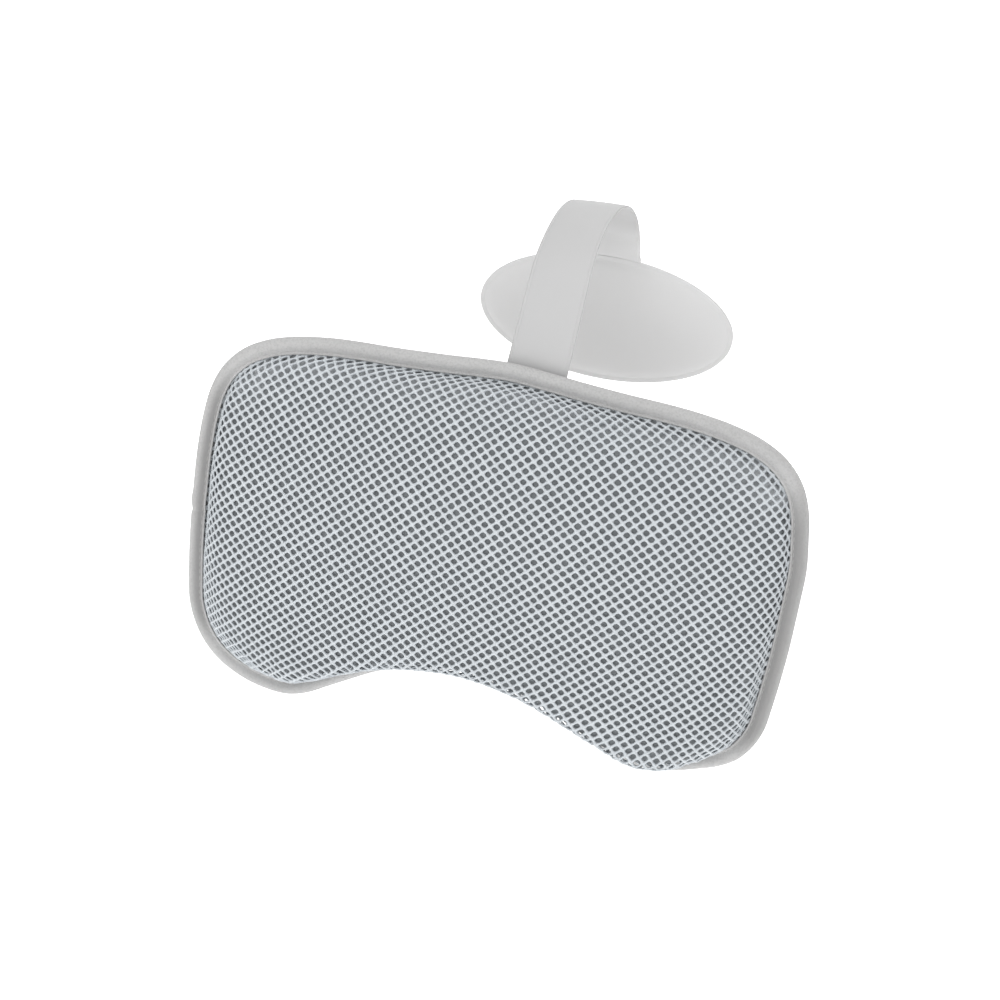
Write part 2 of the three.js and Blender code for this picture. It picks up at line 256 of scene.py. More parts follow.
def gap_at(s):
    """How far the mesh is drawn away from the bead: a little everywhere, most on the left side."""
    away = np.abs((s - GAP_S + RIM_LEN / 2) % RIM_LEN - RIM_LEN / 2)
    return 0.05 + 1.5 * np.exp(-((away / 46) ** 4))


def surface(p, back=0.0):
    """Points of the cushion's front over (x, z), that far behind the mesh's front face."""
    d, n, s = edge_exact(p)
    gap = gap_at(s)
    u = d - SEAM - back - 0.8 * gap
    h = dome_height(p, u, s) - 1.7 * gap * np.exp(-(((u + 0.5) / 1.0) ** 2))
    pos = np.maximum(u, 0)
    waves = np.sin(2 * math.pi * s / 11.3) + 0.6 * np.sin(2 * math.pi * s / 17.9 + 1.3) + 0.5 * np.sin(2 * math.pi * s / 7.1 + 0.4)
    h = h + 0.55 * gather_at(s) * waves * np.exp(-pos / 8) * (1 - np.exp(-pos / 1.6))
    # the wall of the recess leans out over the binding
    low = smooth01(-n[:, 1] / 0.75) * smooth01((np.where(p[:, 0] > 0, 152, 112) - np.abs(p[:, 0])) / 40) * (1 + 0.5 * smooth01(p[:, 0] / 50))
    out = (0.3 + 2.6 * low) * (pos / 3.2) * np.exp(1 - pos / 3.2)
    return np.stack([p[:, 0] + n[:, 0] * out, FLANGE_Y + back - h, p[:, 1] + n[:, 1] * out], 1), u, s


# ------------------------------------------------------------------ materials
def material(name):
    m = bpy.data.materials.new(name)
    m.use_nodes = True
    nt = m.node_tree
    nt.nodes.clear()
    out = nt.nodes.new("ShaderNodeOutputMaterial")
    b = nt.nodes.new("ShaderNodeBsdfPrincipled")
    nt.links.new(b.outputs["BSDF"], out.inputs["Surface"])
    return m, nt, b


def node(nt, kind, settings=None, **inputs):
    n = nt.nodes.new(kind)
    for k, v in (settings or {}).items():
        setattr(n, k, v)
    for k, v in inputs.items():
        key = int(k[1:]) if k[0] == "i" and k[1:].isdigit() else k.replace("_", " ")
        if hasattr(v, "is_output"):
            nt.links.new(v, n.inputs[key])
        else:
            n.inputs[key].default_value = v
    return n


def math_node(nt, op, a, b=0.0, clamp=False):
    n = node(nt, "ShaderNodeMath", {"operation": op, "use_clamp": clamp}, i0=a, i1=b)
    return n.outputs[0]


def mix_colour(nt, fac, a, b, mode="MIX"):
    n = node(nt, "ShaderNodeMix", {"data_type": "RGBA", "blend_type": mode})
    for socket, v in ((n.inputs[0], fac), (n.inputs[6], a), (n.inputs[7], b)):
        if hasattr(v, "is_output"):
            nt.links.new(v, socket)
        else:
            socket.default_value = v
    return n.outputs[2]


def bump(nt, bsdf, height, distance, strength=1.0):
    n = node(nt, "ShaderNodeBump", None, Strength=strength, Distance=distance, Height=height)
    nt.links.new(n.outputs[0], bsdf.inputs["Normal"])
    return n


def rgba(r, g, b):
    return (r, g, b, 1.0)


def knit_material():
    """Open mesh: twisted yarn along each strand, a little fuzz, faint unevenness of tone."""
    m, nt, b = material("mesh_yarn")
    at = nt.nodes.new("ShaderNodeAttribute")
    at.attribute_name = "along"
    ac = nt.nodes.new("ShaderNodeAttribute")
    ac.attribute_name = "across"
    tex = nt.nodes.new("ShaderNodeTexCoord")
    big = node(nt, "ShaderNodeTexNoise", None, Vector=tex.outputs["Object"], Scale=35.0, Detail=2.0)
    fine = node(nt, "ShaderNodeTexNoise", None, Vector=tex.outputs["Object"], Scale=3200.0, Detail=2.0)
    twist = math_node(nt, "SINE", math_node(nt, "ADD", math_node(nt, "MULTIPLY", at.outputs["Fac"], 19.0), math_node(nt, "MULTIPLY", ac.outputs["Fac"], 4.0)))
    tone = mix_colour(nt, big.outputs["Fac"], rgba(0.575, 0.610, 0.638), rgba(0.640, 0.670, 0.692))
    shade = math_node(nt, "MULTIPLY", ac.outputs["Fac"], 0.16)
    tone = mix_colour(nt, shade, tone, rgba(0.42, 0.45, 0.48))
    # painted shade: darker along the yarn's twist and at the strand middles, so the crossings stay lighter as a painted
    # highlight
    painted_yarn_shade = math_node(nt, "MULTIPLY_ADD", twist, 0.05)
    nt.nodes[-1].inputs[2].default_value = 0.05
    painted_yarn_shade = math_node(nt, "ADD", painted_yarn_shade, math_node(nt, "MULTIPLY", at.outputs["Fac"], 0.28))
    tone = mix_colour(nt, painted_yarn_shade, tone, rgba(0.52, 0.56, 0.60))
    nt.links.new(tone, b.inputs["Base Color"])
    b.inputs["Roughness"].default_value = 0.72
    b.inputs["Sheen Weight"].default_value = 0.12
    b.inputs["Sheen Roughness"].default_value = 0.4
    b.inputs["Specular IOR Level"].default_value = 0.35
    height = math_node(nt, "ADD", math_node(nt, "MULTIPLY", twist, 0.5), fine.outputs["Fac"])
    bump(nt, b, height, 0.00012, 0.8)
    return m


def liner_material():
    """Grey backing cloth behind the holes, with paler seam allowance near the edge and painted light that makes it
    paler along the top edge.
    """
    m, nt, b = material("liner_cloth")
    tex = nt.nodes.new("ShaderNodeTexCoord")
    hem = nt.nodes.new("ShaderNodeAttribute")
    hem.attribute_name = "hem"
    n1 = node(nt, "ShaderNodeTexNoise", None, Vector=tex.outputs["Object"], Scale=170.0, Detail=2.0)
    n2 = node(nt, "ShaderNodeTexNoise", None, Vector=tex.outputs["Object"], Scale=2600.0, Detail=2.0)
    n3 = node(nt, "ShaderNodeTexNoise", None, Vector=tex.outputs["Object"], Scale=140.0, Detail=1.0)
    tone = mix_colour(nt, n1.outputs["Fac"], rgba(0.195, 0.208, 0.218), rgba(0.315, 0.332, 0.346))
    ramp = nt.nodes.new("ShaderNodeMapRange")
    for i, v in enumerate((0.43, 0.52, 0.0, 1.0)):
        ramp.inputs[i + 1].default_value = v
    nt.links.new(n3.outputs["Fac"], ramp.inputs[0])
    patch = math_node(nt, "MULTIPLY", ramp.outputs[0], hem.outputs["Fac"], True)
    tone = mix_colour(nt, patch, tone, rgba(0.80, 0.82, 0.84))
    # painted light: the liner is mixed paler along the top edge, where light from above falls into the holes
    lift = nt.nodes.new("ShaderNodeAttribute")
    lift.attribute_name = "lift"
    tone = mix_colour(nt, math_node(nt, "MULTIPLY", lift.outputs["Fac"], 0.85, True), tone, rgba(0.56, 0.58, 0.60))
    nt.links.new(tone, b.inputs["Base Color"])
    b.inputs["Roughness"].default_value = 0.9
    b.inputs["Specular IOR Level"].default_value = 0.2
    bump(nt, b, n2.outputs["Fac"], 0.0002, 0.6)
    return m


def cloth_material(name, light, dark, weave, rough=0.8, sheen=0.1, relief=0.00008, fold=None):
    """Smooth woven cloth on a piece with a UV map in metres: fine weave, soft mottling."""
    m, nt, b = material(name)
    uv = nt.nodes.new("ShaderNodeUVMap")
    uv.uv_map = "UVMap"
    tex = nt.nodes.new("ShaderNodeTexCoord")
    mott = node(nt, "ShaderNodeTexNoise", None, Vector=tex.outputs["Object"], Scale=55.0, Detail=3.0)
    fuzz = node(nt, "ShaderNodeTexNoise", None, Vector=tex.outputs["Object"], Scale=2400.0, Detail=2.0)
    sep = node(nt, "ShaderNodeSeparateXYZ", None, Vector=uv.outputs[0])
    k = 2 * math.pi / weave
    wx = math_node(nt, "SINE", math_node(nt, "MULTIPLY", sep.outputs[0], k))
    wy = math_node(nt, "SINE", math_node(nt, "MULTIPLY", sep.outputs[1], k))
    threads = math_node(nt, "MULTIPLY", wx, wy)
    tone = mix_colour(nt, mott.outputs["Fac"], dark, light)
    nap = node(nt, "ShaderNodeTexNoise", None, Vector=tex.outputs["Object"], Scale=950.0, Detail=2.0)
    speck = math_node(nt, "MULTIPLY", math_node(nt, "SUBTRACT", nap.outputs["Fac"], 0.42, True), 1.5)
    tone = mix_colour(nt, math_node(nt, "ADD", math_node(nt, "MULTIPLY", threads, 0.03), speck, True), tone, rgba(*(0.7 * c for c in dark[:3])))
    if fold:  # painted shade: the binding is greyed where it turns in along the mesh
        seam = nt.nodes.new("ShaderNodeAttribute")
        seam.attribute_name = "fold"
        tone = mix_colour(nt, seam.outputs["Fac"], tone, fold)
    nt.links.new(tone, b.inputs["Base Color"])
    b.inputs["Roughness"].default_value = rough
    b.inputs["Sheen Weight"].default_value = sheen
    b.inputs["Sheen Roughness"].default_value = 0.5
    b.inputs["Specular IOR Level"].default_value = 0.3
    bump(nt, b, math_node(nt, "ADD", threads, fuzz.outputs["Fac"]), relief, 0.7)
    return m


def vinyl_material(name, light, dark, rough=0.5, painted_light_colour=None):
    """Matt vinyl sheet: pebbled grain too fine to see from afar, faint clouding, rougher where it is handled."""
    m, nt, b = material(name)
    tex = nt.nodes.new("ShaderNodeTexCoord")
    cloud = node(nt, "ShaderNodeTexNoise", None, Vector=tex.outputs["Object"], Scale=22.0, Detail=3.0)
    grain = node(nt, "ShaderNodeTexVoronoi", None, Vector=tex.outputs["Object"], Scale=1500.0)
    soft = node(nt, "ShaderNodeTexNoise", None, Vector=tex.outputs["Object"], Scale=160.0, Detail=3.0)
    tone = mix_colour(nt, cloud.outputs["Fac"], dark, light)
    if painted_light_colour:  # painted light: paler on the inner side towards the pad, lifting the shade there
        painted_light_inner = nt.nodes.new("ShaderNodeAttribute")
        painted_light_inner.attribute_name = "painted_light_inner"
        tone = mix_colour(nt, painted_light_inner.outputs["Fac"], tone, painted_light_colour)
    nt.links.new(tone, b.inputs["Base Color"])
    r = nt.nodes.new("ShaderNodeMapRange")
    for i, v in enumerate((0.3, 0.7, rough - 0.06, rough + 0.08)):
        r.inputs[i + 1].default_value = v
    nt.links.new(soft.outputs["Fac"], r.inputs[0])
    nt.links.new(r.outputs[0], b.inputs["Roughness"])
    b.inputs["Specular IOR Level"].default_value = 0.35
    height = math_node(nt, "ADD", math_node(nt, "MULTIPLY", grain.outputs["Distance"], 0.6), math_node(nt, "MULTIPLY", soft.outputs["Fac"], 0.8))
    bump(nt, b, height, 0.00006, 0.55)
    return m


def thread_material():
    m, nt, b = material("sewing_thread")
    at = nt.nodes.new("ShaderNodeAttribute")
    at.attribute_name = "along"
    ac = nt.nodes.new("ShaderNodeAttribute")
    ac.attribute_name = "across"
    ply = math_node(nt, "SINE", math_node(nt, "ADD", math_node(nt, "MULTIPLY", at.outputs["Fac"], 38.0), math_node(nt, "MULTIPLY", ac.outputs["Fac"], 6.2832)))
    # painted shade: darker in the grooves of the thread's ply
    tone = mix_colour(nt, math_node(nt, "MULTIPLY_ADD", ply, 0.25), rgba(0.52, 0.515, 0.505), rgba(0.42, 0.415, 0.408))
    nt.nodes[-2].inputs[2].default_value = 0.25
    nt.links.new(tone, b.inputs["Base Color"])
    b.inputs["Roughness"].default_value = 0.55
    b.inputs["Sheen Weight"].default_value = 0.1
    bump(nt, b, ply, 0.00008, 0.8)
    return m


def steel_material():
    m, nt, b = material("weight_steel")
    tex = nt.nodes.new("ShaderNodeTexCoord")
    mapping = node(nt, "ShaderNodeMapping", None, Vector=tex.outputs["Object"])
    mapping.inputs["Scale"].default_value = (12.0, 900.0, 900.0)
    n1 = node(nt, "ShaderNodeTexNoise", None, Vector=mapping.outputs[0], Scale=1.0, Detail=3.0)
    n2 = node(nt, "ShaderNodeTexNoise", None, Vector=tex.outputs["Object"], Scale=90.0, Detail=4.0)
    tone = mix_colour(nt, n2.outputs["Fac"], rgba(0.46, 0.47, 0.48), rgba(0.58, 0.585, 0.59))
    nt.links.new(tone, b.inputs["Base Color"])
    b.inputs["Metallic"].default_value = 1.0
    r = math_node(nt, "MULTIPLY_ADD", n1.outputs["Fac"], 0.25)
    nt.nodes[-1].inputs[2].default_value = 0.25
    nt.links.new(r, b.inputs["Roughness"])
    bump(nt, b, n1.outputs["Fac"], 0.00003, 0.5)
    return m


M_KNIT, M_LINER, M_THREAD, M_STEEL = knit_material(), liner_material(), thread_material(), steel_material()
# the binding's fold colour is painted shade, darker on its sides than on its top
M_BAND = cloth_material("binding_cloth", rgba(0.525, 0.523, 0.521), rgba(0.475, 0.473, 0.471), 0.0009, 0.82, 0.15, fold=rgba(0.275, 0.272, 0.27))
M_PANEL = cloth_material("panel_cloth", rgba(0.48, 0.475, 0.467), rgba(0.43, 0.425, 0.417), 0.0011, 0.7, 0.08, 0.00012)
# the strap's paler inner colour is painted light
M_STRAP = vinyl_material("strap_vinyl", rgba(0.515, 0.515, 0.515), rgba(0.49, 0.49, 0.492), 0.52, painted_light_colour=rgba(0.71, 0.71, 0.711))
M_PAD = vinyl_material("pad_vinyl", rgba(0.70, 0.70, 0.70), rgba(0.67, 0.67, 0.672), 0.5)


# ------------------------------------------------------------------ padded liner, puffed by simulation
def puff(o, pinned, pressure, cap_mm, frames=20):
    """Lets air pressure swell a closed cushion with its pinned points held, and returns how far each point moved, in millimetres."""
    rest = np.array([v.co for v in o.data.vertices])
    group = o.vertex_groups.new(name="held")
    group.add([int(i) for i in pinned], 1.0, "REPLACE")
    mod = o.modifiers.new("puff", "CLOTH")
    c = mod.settings
    c.quality, c.mass = 6, 0.25
    c.tension_stiffness = c.compression_stiffness = 12
    c.shear_stiffness, c.bending_stiffness = 4, 0.6
    c.use_pressure, c.uniform_pressure_force = True, pressure
    c.vertex_group_mass = "held"
    c.effector_weights.gravity = 0
    mod.collision_settings.use_collision = False
    mod.collision_settings.use_self_collision = False
    mod.point_cache.frame_start, mod.point_cache.frame_end = 1, frames
    for f in range(1, frames + 1):
        scene.frame_set(f)
    ev = o.evaluated_get(bpy.context.evaluated_depsgraph_get())
    me = ev.to_mesh()
    moved = (np.array([v.co for v in me.vertices]) - rest) / MM
    ev.to_mesh_clear()
    o.modifiers.remove(mod)
    o.vertex_groups.clear()
    scene.frame_set(1)
    length = np.linalg.norm(moved, axis=1)
    keep = cap_mm * np.tanh(length / cap_mm) / np.maximum(length, 1e-9)
    return moved * keep[:, None]


def spread(loop, rings):
    """Points between the middle of the cushion and a closed loop, ring by ring from the loop inwards."""
    return np.concatenate([MID + (loop - MID) * t for t in rings])


def inset(distance, n=480):
    ring, _ = outline(n)
    return ring - outward(ring) * distance


def make_liner():
    n = 220
    rings = 1 - np.concatenate([np.linspace(0, 0.05, 8), 0.05 + 0.95 * np.linspace(0.045, 0.985, 24)])
    hemmed = inset(SEAM - 0.5, n)  # the liner's edge, caught in the binding
    top2 = np.concatenate([hemmed, spread(inset(SEAM + LINER_BACK + 0.2, n), rings)])
    top, _, s = surface(top2, LINER_BACK + 0.6)
    top[:, 1] = np.minimum(top[:, 1], -2.4)
    top[:n] = np.stack([hemmed[:, 0], np.full(n, -3.2), hemmed[:, 1]], 1)
    rows = len(rings) + 1
    d, out, _ = edge_exact(top2)
    hem = np.exp(-np.maximum(d - SEAM - 3, 0) / 4.0) * np.clip(gather_at(s) * 1.6, 0, 1) * (0.3 + 0.7 * smooth01((out[:, 1] + 0.2) / 0.5))
    # painted light: the liner is paler along the top edge, where light from above falls into the holes
    lift = np.exp(-np.maximum(d - SEAM - LINER_BACK, 0) / 7.0) * smooth01((out[:, 1] - 0.1) / 0.5)
    low2 = np.concatenate([hemmed, spread(inset(SEAM + LINER_BACK + 0.2, n), np.linspace(1, 0.03, 9))])
    low = np.stack([low2[:, 0], np.where(np.arange(len(low2)) < n, -2.75, -1.75), low2[:, 1]], 1)
    verts = np.vstack([top, low, [[MID[0], surface(MID[None], LINER_BACK + 0.6)[0][0, 1], MID[1]]], [[MID[0], -1.75, MID[1]]]])
    faces = [tuple(f) for f in grid_faces(rows, n, closed_cols=True)]
    base = rows * n
    faces += [tuple(base + i for i in f) for f in grid_faces(10, n, closed_cols=True, flip=True)]
    k = np.arange(n)
    k2 = (k + 1) % n
    faces += [(a, base + a, base + b, b) for a, b in zip(k, k2)]
    last, lastlow, c1, c2 = (rows - 1) * n, base + 9 * n, len(verts) - 2, len(verts) - 1
    faces += [(last + a, last + b, c1) for a, b in zip(k, k2)]
    faces += [(lastlow + b, lastlow + a, c2) for a, b in zip(k, k2)]
    hem = np.concatenate([hem, np.zeros(len(low) + 2)])
    lift = np.concatenate([lift, np.zeros(len(low) + 2)])
    o = mesh_object("liner_cushion", verts, faces, attributes={"hem": hem, "lift": lift})
    pinned = np.concatenate([np.arange(3 * n), np.arange(base, base + len(low)), [c2]])
    moved = np.zeros_like(verts)
    moved = puff(o, pinned, 4.0, 1.6)
    moved = np.clip(moved, -2.5, 2.5)
    final = verts + moved
    o.data.vertices.foreach_set("co", (final * MM).astype(np.float32).ravel())
    o.data.update()
    sub = o.modifiers.new("smooth", "SUBSURF")
    sub.levels = sub.render_levels = 1
    o.data.materials.append(M_LINER)
    tree = KDTree(base)
    for i in range(base):
        tree.insert((verts[i, 0], verts[i, 2], 0), i)
    tree.balance()
    return o, tree, moved


liner, LINER_TREE, LINER_MOVE = make_liner()
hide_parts("front_liner", "foam_core")
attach(liner, "pillow")


def swell(p, u):
    """How the puffed liner moves the mesh that lies over it."""
    out = np.zeros((len(p), 3))
    for i, (x, z) in enumerate(p):
        if u[i] <= 0:
            continue
        near = LINER_TREE.find_n((x, z, 0), 4)
        w = np.array([1 / (r[2] + 0.5) for r in near])
        out[i] = (LINER_MOVE[[r[1] for r in near]] * (w / w.sum())[:, None]).sum(0)
    return out * smooth01(u / 6.0)[:, None]


# ------------------------------------------------------------------ mesh cover
def lay_flat_net():
    """Crossings of the net in flat cloth coordinates, and the cells between them as (right, top, left, bottom)."""
    ni, nj = 33, 26
    index, pts = {}, []

    def at(i2, j2):
        key = (i2, j2)
        if key not in index:
            index[key] = len(pts)
            pts.append((i2 * PITCH_X / 2, j2 * PITCH_Z / 2))
        return index[key]

    cells = []
    for i in range(-ni, ni + 1):
        for j in range(-nj, nj + 1):
            for ci, cj in ((2 * i, 2 * j), (2 * i + 1, 2 * j + 1)):
                cells.append((at(ci + 1, cj), at(ci, cj + 1), at(ci - 1, cj), at(ci, cj - 1)))
    return np.array(pts, float), np.array(cells)


def lay_on_dome(flat):
    """Each crossing goes from the middle as far along the surface as it is from the middle of the flat cloth."""
    rays = 240
    ang = np.linspace(0, 2 * math.pi, rays, endpoint=False)
    r = np.concatenate([np.arange(0, 60, 2.0), np.arange(60, 215, 0.5)])
    grid = MID + np.stack([np.cos(ang), np.sin(ang)], 1)[:, None, :] * r[None, :, None]
    p3, _, _ = surface(grid.reshape(-1, 2))
    p3 = p3.reshape(rays, len(r), 3)
    arc = np.concatenate([np.zeros((rays, 1)), np.cumsum(np.linalg.norm(np.diff(p3, axis=1), axis=2), axis=1)], 1)
    rho, th = np.hypot(flat[:, 0], flat[:, 1]), np.arctan2(flat[:, 1], flat[:, 0]) % (2 * math.pi)
    k = th / (2 * math.pi) * rays
    k0 = np.floor(k).astype(int) % rays
    f = k - np.floor(k)
    out = np.empty(len(flat))
    for a in range(rays):
        m = k0 == a
        if m.any():
            ra, rb = np.interp(rho[m], arc[a], r), np.interp(rho[m], arc[(a + 1) % rays], r)
            out[m] = ra * (1 - f[m]) + rb * f[m]
    return MID + np.stack([np.cos(th), np.sin(th)], 1) * out[:, None]


def make_net():
    flat, cells = lay_flat_net()
    p = lay_on_dome(flat)
    d, _, _ = edge_exact(p)
    near = (d[cells] > -6).all(1)
    cells = cells[near]
    used, inv = np.unique(cells, return_inverse=True)
    cells = inv.reshape(cells.shape)
    p = p[used]
    d, _, _ = edge_exact(p)
    cells = cells[(d[cells].mean(1) > SEAM - 3.5) & (d[cells].min(1) > 2.8)]
    used, inv = np.unique(cells, return_inverse=True)
    cells = inv.reshape(cells.shape)
    p = p[used]
    rng = np.random.default_rng(11)
    p = p + rng.normal(0, 0.07, p.shape)
    # strand middles
    pairs = np.sort(np.concatenate([np.stack([cells[:, k], cells[:, (k + 1) % 4]], 1) for k in range(4)]), axis=1)
    strands, sid = np.unique(pairs, axis=0, return_inverse=True)
    sid = sid.reshape(4, len(cells)).T
    mid2 = p[strands].mean(1)
    both = np.vstack([p, mid2])
    q, u, _ = surface(both)
    q = q + swell(both, u)
    nn, nm, nc = len(p), len(strands), len(cells)
    c3 = q[cells]
    normal = np.cross(c3[:, 0] - c3[:, 2], c3[:, 1] - c3[:, 3])
    normal /= np.linalg.norm(normal, axis=1)[:, None]
    vn = np.zeros((nn + nm, 3))
    for k in range(4):
        np.add.at(vn, cells[:, k], normal)
        np.add.at(vn, nn + sid[:, k], normal)
    vn /= np.linalg.norm(vn, axis=1)[:, None]
    # points of one cell in turn: crossing, strand middle, crossing ...
    ring = np.empty((nc, 8), int)
    ring[:, 0::2] = cells
    ring[:, 1::2] = nn + sid
    lift = np.concatenate([np.full(nn, 0.16), np.zeros(nm)])
    crest = q + vn * lift[:, None]
    under = q - vn * (NET_T + 0.1 * lift[:, None])
    centre = c3.mean(1)
    size = (1 + rng.normal(0, 0.035, nc))[:, None]
    share = np.array([0.51, 0.70, 0.53, 0.70] * 2)[None, :] * np.clip(size, 0.9, 1.1)
    hole = centre[:, None] + (q[ring] - centre[:, None]) * share[..., None] - normal[:, None] * 0.62
    shoulder = crest[ring] * 0.46 + (centre[:, None] + (q[ring] - centre[:, None]) * share[..., None]) * 0.54 - normal[:, None] * 0.10
    n0 = nn + nm
    verts = np.vstack([crest, under, shoulder.reshape(-1, 3), hole.reshape(-1, 3)])
    sh = 2 * n0 + np.arange(nc * 8).reshape(nc, 8)
    he = 2 * n0 + nc * 8 + np.arange(nc * 8).reshape(nc, 8)
    nxt = np.roll(np.arange(8), -1)
    f1 = np.stack([ring, ring[:, nxt], sh[:, nxt], sh], -1).reshape(-1, 4)
    f2 = np.stack([sh, sh[:, nxt], he[:, nxt], he], -1).reshape(-1, 4)
    f3 = np.stack([he, he[:, nxt], n0 + ring[:, nxt], n0 + ring], -1).reshape(-1, 4)
    # close the cut edge under the binding
    e = np.stack([ring, ring[:, nxt]], -1).reshape(-1, 2)
    key = np.sort(e, axis=1)
    _, first, count = np.unique(key, axis=0, return_index=True, return_counts=True)
    open_edges = e[first[count == 1]]
    f4 = np.stack([open_edges[:, 1], open_edges[:, 0], n0 + open_edges[:, 0], n0 + open_edges[:, 1]], -1)
    along = np.concatenate([np.zeros(nn), np.ones(nm), np.zeros(nn), np.ones(nm), np.tile(np.arange(8) % 2, nc), np.tile(np.arange(8) % 2, nc)])
    across = np.concatenate([np.zeros(n0), np.full(n0, 1.0), np.full(nc * 8, 0.5), np.ones(nc * 8)])
    o = mesh_object("mesh_cover", verts, np.vstack([f1, f2, f3, f4]), attributes={"along": along, "across": across})
    o.data.materials.append(M_KNIT)
    return o, nc


net, NET_CELLS = make_net()
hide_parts("front_mesh_cover")
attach(net, "pillow")


# ------------------------------------------------------------------ binding
BAND = [
    (9.0, -5.38), (9.3, -5.7), (9.24, -6.1), (8.9, -6.38), (8.45, -6.34), (8.0, -6.1), (7.6, -6.02), (7.2, -6.1), (6.6, -6.4),
    (5.6, -6.92), (4.4, -7.15), (3.2, -6.95), (2.0, -6.3), (1.05, -5.35), (0.4, -4.3), (0.15, -3.3), (0.4, -2.25), (1.05, -1.3),
    (2.0, -0.6), (3.4, -0.16), (5.2, 0.0), (6.5, -0.08), (7.1, -0.26), (7.7, -0.12), (8.5, 0.0), (9.0, -0.18), (9.15, -0.7), (9.0, -1.28),
    (2.5, -1.3), (2.5, -5.32),
]
JOIN_S = edge_exact(np.array([(-164.7, -12.0)]))[2][0]


def make_band():
    n = 620
    ring, total = outline(n)
    out = outward(ring)
    s = np.arange(n) * total / n
    sec = np.array(BAND, float)
    near = (s - JOIN_S + total / 2) % total - total / 2
    rows = []
    for d, y in sec:
        skin = min(1.0, max(0.0, (6.4 - abs(y + 3.3) * 0.0 - 0) / 6.4))
        dd = d - wavy(s, total, (3, 7, 12, 23), (0.14, 0.12, 0.08, 0.05)) * skin
        front = 1.0 if y < -5.6 else 0.0
        yy = y - front * wavy(s, total, (5, 11, 19, 37), (0.10, 0.08, 0.06, 0.05))
        # the two ends of the binding lap over each other
        lap = 0.75 * np.exp(-((near / 1.4) ** 2)) - 0.45 * smooth01(1 - np.abs(near - 6) / 6.5) * (near > 0)
        towards = 1.0 if d < 2.5 else 0.0
        dd = dd + lap * towards * (0.0 if 2.4 < d < 9.05 and -5.4 < y < -1.2 else 1.0)
        yy = yy + lap * front
        p = ring - out * dd[:, None]
        rows.append(np.stack([p[:, 0], yy, p[:, 1]], 1))
    rows = np.array(rows)
    m = len(sec)
    girth = np.concatenate([[0], np.cumsum(np.linalg.norm(np.diff(sec, axis=0), axis=1))])
    uv = np.stack([np.tile(s, m), np.repeat(girth, n)], 1) * MM
    # painted shade along the mesh: the binding is greyed more on the sides than on the top and under the lobes, and
    # wider on the right
    side = (0.9 - 0.8 * smooth01((out[:, 1] - 0.1) / 0.6)) * (1 - 0.85 * smooth01((-out[:, 1] - 0.3) / 0.45))
    right_hand = smooth01(ring[:, 0] / 60)
    depth = sec[:, 0]
    facing = np.array([(0.25 if 8.3 < d < 9.31 and y < -5.6 else 1.0) * (1.0 if y < -2.8 else 0.3) for d, y in BAND])
    fold = facing[:, None] * (smooth01((depth - 1.2) / 5.0)[:, None] * (1 - right_hand) + smooth01((depth + 0.6) / 4.6)[:, None] * right_hand)
    fold = (fold * side).ravel()
    o = mesh_object("edge_band", rows.reshape(-1, 3), grid_faces(m, n, closed_cols=True, closed_rows=True, flip=True), uv=uv, wrap=total * MM, attributes={"fold": fold})
    o.data.materials.append(M_BAND)
    sub = o.modifiers.new("smooth", "SUBSURF")
    sub.levels = sub.render_levels = 1
    return o


band = make_band()
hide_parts("edge_binding")
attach(band, "pillow")


# ------------------------------------------------------------------ stitches
def stitches(name, starts, ends, ups, radius=0.26, dip=0.22, uneven=0.12, seed=3):
    """One short thread per stitch: it comes up, lies on the cloth and goes down again."""
    rng = np.random.default_rng(seed)
    rows, sides = 7, 8
    t = np.linspace(0, 1, rows)
    verts, faces, along, across = [], [], [], []
    a = np.linspace(0, 2 * math.pi, sides, endpoint=False)
    for p0, p1, up in zip(starts, ends, ups):
        axis = p1 - p0
        axis = axis / np.linalg.norm(axis)
        side = np.cross(up, axis)
        side /= np.linalg.norm(side)
        p0 = p0 + side * rng.normal(0, uneven * 0.5)
        p1 = p1 + side * rng.normal(0, uneven * 0.5)
        base = len(verts)
        for k, tk in enumerate(t):
            arch = math.sin(math.pi * tk) ** 0.5 if 0 < tk < 1 else 0.0
            c = p0 + (p1 - p0) * tk + up * (radius * 0.9 * arch - dip * (1 - arch))
            r = radius * (0.55 + 0.45 * arch)
            for m in range(sides):
                verts.append(c + side * math.cos(a[m]) * r + up * math.sin(a[m]) * r)
                along.append(tk)
                across.append(m / sides)
        for f in grid_faces(rows, sides, closed_cols=True):
            faces.append(tuple(base + f))
        faces.append(tuple(base + m for m in reversed(range(sides))))
        faces.append(tuple(base + (rows - 1) * sides + m for m in range(sides)))
    o = mesh_object(name, verts, faces, attributes={"along": along, "across": across})
    import bmesh

    bm = bmesh.new()
    bm.from_mesh(o.data)
    bmesh.ops.recalc_face_normals(bm, faces=bm.faces)
    bm.to_mesh(o.data)
    bm.free()
    o.data.materials.append(M_THREAD)
    return o


def band_stitches():
    n = 236
    ring, total = outline(n * 4)
    starts, ends, ups = [], [], []
    out = outward(ring)
    s = np.arange(len(ring)) * total / len(ring)
    dw = wavy(s, total, (3, 7, 12, 23), (0.14, 0.12, 0.08, 0.05))
    yw = wavy(s, total, (5, 11, 19, 37), (0.10, 0.08, 0.06, 0.05))
    for d, y, up in ((7.55, -6.02, -1.0), (7.1, -0.26, 1.0)):
        p = ring - out * (d - dw)[:, None]
        line = np.stack([p[:, 0], y - (yw if up < 0 else 0 * yw), p[:, 1]], 1)
        for k in range(n):
            starts.append(line[4 * k])
            ends.append(line[(4 * k + 3) % len(line)])
            ups.append(np.array([0, up, 0]))
    return stitches("band_stitches", starts, ends, ups, radius=0.13, dip=0.14)


sewn = band_stitches()
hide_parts("binding_stitch")
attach(sewn, "pillow")


